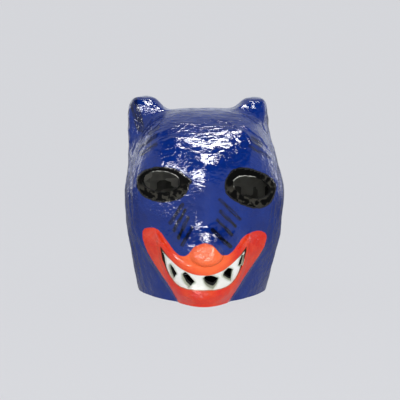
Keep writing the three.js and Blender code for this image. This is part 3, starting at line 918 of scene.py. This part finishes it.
def socket_black():
    """Matt black brushed over the eye sockets, in lighter blotches that are partly wear and partly painted
    reflection, with a painted highlight on the torn edge over each eye.
    """
    material, tree, output, place = new_material("matt black poster paint on papier-mache")
    # Lighter blotches about 8 mm across below the eyes' middle and beside the outer one: partly rubbed black,
    # partly painted reflection of the pale room
    parts = add(tree, "ShaderNodeSeparateXYZ", {0: place}).outputs
    wear_and_reflection = maths(tree, "MAXIMUM", ranged(tree, parts["Z"], 0.2, 0.188), ranged(tree, parts["X"], 0.088, 0.1))
    blotch = ranged(tree, noise(tree, place, 120.0, 2.0), 0.5, 0.58, kind="SMOOTHSTEP")
    blotch = maths(tree, "MULTIPLY", blotch, wear_and_reflection)
    colour = blend(tree, blotch, linear("#030303"), linear("#383630"))
    # Painted highlight on the torn edge over each eye, broken every few millimetres
    lid_highlight = maths(tree, "MULTIPLY_ADD", noise(tree, place, 260.0, 2.0), 2.4, stored(tree, "lid_highlight_distance"))
    colour = blend(tree, ranged(tree, lid_highlight, 1.6, 2.1, 1.0, 0.0), colour, linear("#c4c4ba"))
    bump = raised(tree, blotch, 0.0004, strength=0.5)
    return finish_material(material, tree, output, Base_Color=colour, Roughness=0.7, Specular_IOR_Level=0.05,
                           Normal=bump)


def paper_strips():
    """Raw pulp paper inside, pasted in torn rectangles of differing grey, with painted shade darker towards the
    right and black low down round the mouth.
    """
    material, tree, output, place = new_material("raw grey pulp paper strips inside")
    # Strips about 24 mm across and 16 mm high
    drawn = stretched(tree, place, (42.0, 42.0, 62.0))
    strip = add(tree, "ShaderNodeTexVoronoi", {"Vector": drawn, "Scale": 1.0, "Randomness": 0.8},
                distance="CHEBYCHEV").outputs["Color"]
    strip = ranged(tree, add(tree, "ShaderNodeSeparateXYZ", {0: strip}).outputs["X"], 0.35, 0.75)
    shade = maths(tree, "MULTIPLY_ADD", noise(tree, place, 60.0, 4.0), 0.5, strip)
    shade = ranged(tree, shade, 0.2, 1.3, 0.12, 1.0)
    parts = add(tree, "ShaderNodeSeparateXYZ", {0: place}).outputs
    # Painted shade: the inside darker towards the right
    shade = maths(tree, "MULTIPLY", shade, ranged(tree, parts["X"], -0.04, 0.04, 1.2, 0.5))
    tone = scaled(tree, linear("#c4c3ba"), shade)
    # Painted shade: black inside below about 130 mm, round the mouth and under it
    tone = blend(tree, ranged(tree, parts["Z"], 0.15, 0.11), tone, linear("#0c0b0b"))
    bump = raised(tree, shade, 0.0005, strength=0.5)
    return finish_material(material, tree, output, Base_Color=tone, Roughness=0.8, Normal=bump)


def torn_edge(name, code, black_behind=False):
    """A plain coat on rough torn paper: patchy in colour, with a paper grain 7 mm across.

    Where asked, it goes over to black just behind the teeth's faces, as painted shade deep in the gaps.
    """
    material, tree, output, place = new_material(name)
    grain = noise(tree, place, 150.0, 4.0)
    tone = scaled(tree, linear(code), ranged(tree, grain, 0.3, 0.7, 0.65, 1.15))
    if black_behind:
        # Painted shade: black deeper than about 3.5 mm into the gaps
        tone = blend(tree, ranged(tree, stored(tree, "gap_depth"), 3.2, 4.0), tone, linear("#0c0b0b"))
    bump = raised(tree, grain, 0.0006, strength=0.6)
    return finish_material(material, tree, output, Base_Color=tone, Roughness=0.6, Normal=bump)


# Settings


def length_property(name, description, default):
    """A length in metres that a user may change."""
    return FloatProperty(name=name, description=description, default=default, min=0.0, precision=5,
                         subtype="DISTANCE", unit="LENGTH")


def power_property(name, description, default):
    """A light's power in watts."""
    return FloatProperty(name=name, description=description, default=default, min=0.0, subtype="POWER",
                         unit="POWER")


def colour_property(name, description, code):
    """A colour from its sRGB hex code."""
    return FloatVectorProperty(name=name, description=description, default=linear(code), size=3,
                               min=0.0, max=1.0, subtype="COLOR")


class MaskForm(bpy.types.PropertyGroup):
    """Relief of the paper skin."""

    lump_height: length_property("Lump height", "Height of the broad lumps of the paper", 0.0008)
    crease_height: length_property("Crease height", "Height of the creases of torn paper strips", 0.00022)
    fold_height: length_property("Fold height", "Height of the long folds on the sides and the crown", 0.0009)
    line_height: length_property("Line height", "Height of the folds that run down from the ears", 0.0014)


class MaskPaint(bpy.types.PropertyGroup):
    """Colours and gloss of the enamel."""

    blue: colour_property("Blue", "Enamel over the whole head", "#062b7d")
    deep_blue: colour_property("Deep blue", "Where the blue lies thicker", "#02236f")
    black: colour_property("Black", "Eye sockets and dry strokes", "#0b0b0d")
    red: colour_property("Red", "Lips", "#dc260f")
    # The orange red stands partly for thinner red and partly for painted light round the nose
    orange: colour_property("Orange red", "Where the red lies thinner, round the nose", "#ff6e36")
    white: colour_property("White", "Teeth", "#f8f8f3")
    wrinkle_height: length_property("Wrinkle height", "Height of the net of fine wrinkles", 0.0003)
    crackle_height: length_property("Crackle height", "Height of the crackle on nose and lower lip", 0.0006)
    fold_height: length_property("Fold height", "Height of the fine folds on the sides and the crown", 0.0004)
    roughness: FloatProperty(name="Roughness", description="Roughness of the gloss enamel", default=0.08,
                             min=0.0, max=1.0, subtype="FACTOR")


class MaskStudio(bpy.types.PropertyGroup):
    """Camera and lights."""

    camera_distance: length_property("Camera distance", "From the camera to the middle of the mask", 2.5)
    camera_lift: FloatProperty(name="Camera lift", description="Angle of the camera above the level",
                               default=math.radians(8.5), subtype="ANGLE", unit="ROTATION")
    room_light: FloatProperty(name="Room light", description="Brightness of the pale room", default=0.68,
                              min=0.0)
    panel_power: power_property("Panel power", "Power of the high front panel", 48.0)
    low_power: power_property("Low panel power", "Power of the low front panel", 34.0)
    fill_power: power_property("Fill power", "Power of the wide soft light by the camera", 30.0)
    top_fill_power: power_property("Top fill power", "Power of the wide soft light from above", 12.0)
    strip_power: power_property("Strip power", "Power of each tall side strip", 4.0)


# Operators


class MASK_OT_shell(bpy.types.Operator):
    """Build the painted papier-mache shell in place of its CAD node"""

    bl_idname = "mask.shell"
    bl_label = "Mask shell"

    def execute(self, context):
        scene = context.scene
        slots = (
            brushed_enamel(scene.mask_paint),
            paper_strips(),
            torn_edge("black enamel on torn paper edge", "#0b0b0a"),
            torn_edge("pale ground coat on cut paper edge", "#b4b8a2", black_behind=True),
            socket_black(),
        )
        plain = grid_of(SKIN_COLUMNS, SKIN_ROWS, skin_points)
        low, high = plain.reshape(-1, 3).min(0), plain.reshape(-1, 3).max(0)
        shift = np.array([(low[0] + high[0]) / 2, (low[1] + high[1]) / 2, 0.0])
        skin = embossed(plain, scene.mask_form)
        skin[0, :, 2] = 0.0
        crown = skin[-1].mean(0) + (0, 0, 0.3)
        points, triangles = ring_body(skin, (0, 0, 0), crown)
        shell = solid("painted_shell", points - shift, triangles, slots, 0)

        lining = grid_of(LINING_COLUMNS, LINING_ROWS, lining_points)
        below = lining[0] * (1, 1, 0) - (0, 0, WALL)
        lining = np.concatenate([below[None], lining])
        hollow = ring_body(lining, (0, 0, -WALL), (0, 0, CROWN_HEIGHT - WALL))
        cutters = [solid("hollow", hollow[0] - shift, hollow[1], slots, 1)]

        bed_points, bed_triangles = smile_strip()
        bed = solid("tooth_bed", bed_points - shift, bed_triangles, slots, 0)
        behind = solid("teeth_behind", points - shift + (0, TOOTH_BED_DEPTH, 0), triangles, slots, 0)
        cut(bed, [behind])
        cutters.append(bed)
        for i, oval in enumerate(EYE_HOLES):
            body = plug(eye_outline(oval, 21 + i))
            cutters.append(solid("eye_cut", body[0] - shift, body[1], slots, 2))
        for i, corners in enumerate(TOOTH_GAPS):
            body = plug(gap_outline(corners), GAP_SLANTS[i], TOOTH_BED_DEPTH)
            # Black ran over the walls of the first gap only
            cutters.append(solid("gap_cut", body[0] - shift, body[1], slots, 3 if i else 2))
        cut(shell, cutters)

        mesh = shell.data
        mesh.name = "painted_shell"
        mesh.polygons.foreach_set("use_smooth", np.ones(len(mesh.polygons), bool))
        mesh.set_sharp_from_angle(angle=math.radians(42))
        paint_maps(mesh, shift)
        blacken_sockets(mesh)
        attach(shell, "root")
        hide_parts("mask_shell")
        return {"FINISHED"}


def aim(made, place, target):
    """Puts an object at a place, its own -Z towards a target."""
    made.location = place
    made.rotation_euler = (Vector(target) - Vector(place)).to_track_quat("-Z", "Y").to_euler()


def panel_light(name, place, target, size, watts):
    """A soft rectangular light."""
    lamp = bpy.data.lights.new(name, "AREA")
    lamp.shape = "RECTANGLE"
    lamp.size, lamp.size_y = size
    lamp.energy = watts
    made = bpy.data.objects.new(name, lamp)
    bpy.context.scene.collection.objects.link(made)
    aim(made, place, target)
    return made


def room(settings):
    """The pale room as the light of each direction.

    It is bright behind the camera up to 20 degrees, dark from there to just past the top, where the studio's
    unlit ceiling is, and bright again beside that and behind the mask. The camera sees the plain backdrop.
    """
    world = bpy.data.worlds.new("pale studio room")
    bpy.context.scene.world = world
    world.use_nodes = True
    tree = world.node_tree
    tree.nodes.clear()
    way = add(tree, "ShaderNodeTexCoord").outputs["Generated"]
    parts = add(tree, "ShaderNodeSeparateXYZ", {0: way}).outputs
    turn = maths(tree, "ARCTAN2", parts["Z"], maths(tree, "MULTIPLY", parts["Y"], -1.0))
    raised_past = ranged(tree, turn, math.radians(17), math.radians(25), kind="SMOOTHSTEP")
    before = ranged(tree, turn, math.radians(92), math.radians(102), 1.0, 0.0, "SMOOTHSTEP")
    between = ranged(tree, maths(tree, "ABSOLUTE", parts["X"]), 0.6, 0.72, 1.0, 0.0)
    dark = maths(tree, "MULTIPLY", maths(tree, "MULTIPLY", raised_past, before), between)
    level = ranged(tree, before, 0.0, 1.0, 1.35 * settings.room_light, settings.room_light)
    glow = maths(tree, "MULTIPLY", level, maths(tree, "MULTIPLY_ADD", dark, -0.96, 1.0))
    lit = add(tree, "ShaderNodeBackground", {"Color": (0.95, 1.0, 1.1, 1), "Strength": glow}).outputs[0]
    seen = add(tree, "ShaderNodeBackground", {"Color": (*linear(BACKDROP), 1)}).outputs[0]
    from_camera = add(tree, "ShaderNodeLightPath").outputs["Is Camera Ray"]
    both = add(tree, "ShaderNodeMixShader", {0: from_camera, 1: lit, 2: seen}).outputs[0]
    add(tree, "ShaderNodeOutputWorld", {0: both})


def pale_floor():
    """A wide plain floor in the backdrop's own colour, lit from within so that hardly any shadow shows.

    It is black under the mask, where no light comes and only the gaps between the teeth look, and what the
    paint mirrors of it is darker behind the mask than in front.
    """
    material, tree, output, place = new_material("matt seamless backdrop paper")
    tone = linear(BACKDROP)
    shadow_share = 0.08
    covered = {"Vector": place, "Location": (0.0, 0.02, 0.0), "Scale": (0.105, 0.118, 1e9)}
    covered = add(tree, "ShaderNodeMapping", covered, vector_type="TEXTURE").outputs[0]
    reach = add(tree, "ShaderNodeVectorMath", {0: covered}, operation="LENGTH").outputs["Value"]
    open_share = ranged(tree, reach, 0.97, 1.0)
    base = scaled(tree, [c * shadow_share for c in tone], open_share)
    glow = maths(tree, "MULTIPLY", open_share, 1.0 - 0.5 * shadow_share)
    backward = add(tree, "ShaderNodeSeparateXYZ", {0: place}).outputs["Y"]
    mirrored = ranged(tree, backward, -0.1, 0.1, 0.8, 0.3)
    from_camera = add(tree, "ShaderNodeLightPath").outputs["Is Camera Ray"]
    glow = maths(tree, "MULTIPLY", glow, ranged(tree, from_camera, 0.0, 1.0, mirrored, 1.0))
    finish_material(material, tree, output, Base_Color=base, Roughness=1.0, Specular_IOR_Level=0.0,
                    Emission_Color=(*tone, 1), Emission_Strength=glow)
    mesh = bpy.data.meshes.new("floor")
    corners = [(x * FLOOR_REACH, y * FLOOR_REACH, 0) for x, y in ((-1, -1), (1, -1), (1, 1), (-1, 1))]
    mesh.from_pydata(corners, [], [(0, 1, 2, 3)])
    mesh.materials.append(material)
    floor = bpy.data.objects.new("floor", mesh)
    bpy.context.scene.collection.objects.link(floor)


class MASK_OT_stage(bpy.types.Operator):
    """Set out the floor, the lights and the camera"""

    bl_idname = "mask.stage"
    bl_label = "Studio"

    def execute(self, context):
        scene = context.scene
        settings = scene.mask_studio
        scene.view_settings.view_transform = "Standard"
        room(settings)
        pale_floor()
        middle = Vector(AIM)
        lift = settings.camera_lift

        def seat(distance, aside, height):
            """A place in front of the middle, lifted by an angle and moved aside by a share of the distance."""
            return middle + distance * Vector((aside, -math.cos(height), math.sin(height)))

        lens = bpy.data.cameras.new("camera")
        lens.sensor_width = SENSOR_WIDTH
        lens.lens = SENSOR_WIDTH * PICTURE_DISTANCE / PICTURE_WIDTH
        camera = bpy.data.objects.new("camera", lens)
        scene.collection.objects.link(camera)
        aim(camera, seat(settings.camera_distance, 0, lift), middle)
        scene.camera = camera
        # The panels and strips are only mirrored in the paint, and the wide fills only light it
        place = seat(PANEL_DISTANCE, 0.04, HIGH_PANEL_LIFT)
        high_panel = panel_light("high_panel", place, middle, (0.75, 0.24), settings.panel_power)
        high_panel.visible_diffuse = False
        level = math.cos(LOW_PANEL_LIFT)
        place = middle + PANEL_DISTANCE * Vector((
            math.sin(LOW_PANEL_TURN) * level, -math.cos(LOW_PANEL_TURN) * level, math.sin(LOW_PANEL_LIFT)))
        low_panel = panel_light("low_panel", place, middle, (1.1, 0.22), settings.low_power)
        low_panel.visible_diffuse = False
        for height, watts in ((lift, settings.fill_power), (TOP_FILL_LIFT, settings.top_fill_power)):
            fill = panel_light("fill", seat(FILL_DISTANCE, 0.08, height), middle, (1.0, 1.0), watts)
            fill.visible_glossy = False
        for side in (-1, 1):
            place = middle + STRIP_DISTANCE * Vector((side * math.sin(STRIP_TURN), -math.cos(STRIP_TURN), 0.15))
            strip = panel_light("side_strip", place, middle, (0.3, 1.3), settings.strip_power)
            strip.visible_diffuse = False
        return {"FINISHED"}


class MASK_PT_panel(bpy.types.Panel):
    """Lists the mask's operators and settings."""

    bl_idname = "MASK_PT_panel"
    bl_label = "Bear head mask"
    bl_space_type = "VIEW_3D"
    bl_region_type = "UI"
    bl_category = "Mask"

    def draw(self, context):
        for name in ("mask_form", "mask_paint", "mask_studio"):
            settings = getattr(context.scene, name)
            box = self.layout.box()
            for key in settings.__annotations__:
                box.prop(settings, key)
        for operator in (MASK_OT_shell, MASK_OT_stage):
            self.layout.operator(operator.bl_idname)


CLASSES = (MaskForm, MaskPaint, MaskStudio, MASK_OT_shell, MASK_OT_stage, MASK_PT_panel)
SETTINGS = {"mask_form": MaskForm, "mask_paint": MaskPaint, "mask_studio": MaskStudio}


def register():
    for cls in CLASSES:
        bpy.utils.register_class(cls)
    for name, cls in SETTINGS.items():
        setattr(bpy.types.Scene, name, PointerProperty(type=cls))


def unregister():
    for name in SETTINGS:
        delattr(bpy.types.Scene, name)
    for cls in reversed(CLASSES):
        bpy.utils.unregister_class(cls)


def main():
    register()
    bpy.ops.mask.shell()
    bpy.ops.mask.stage()


if __name__ == "__main__":
    main()
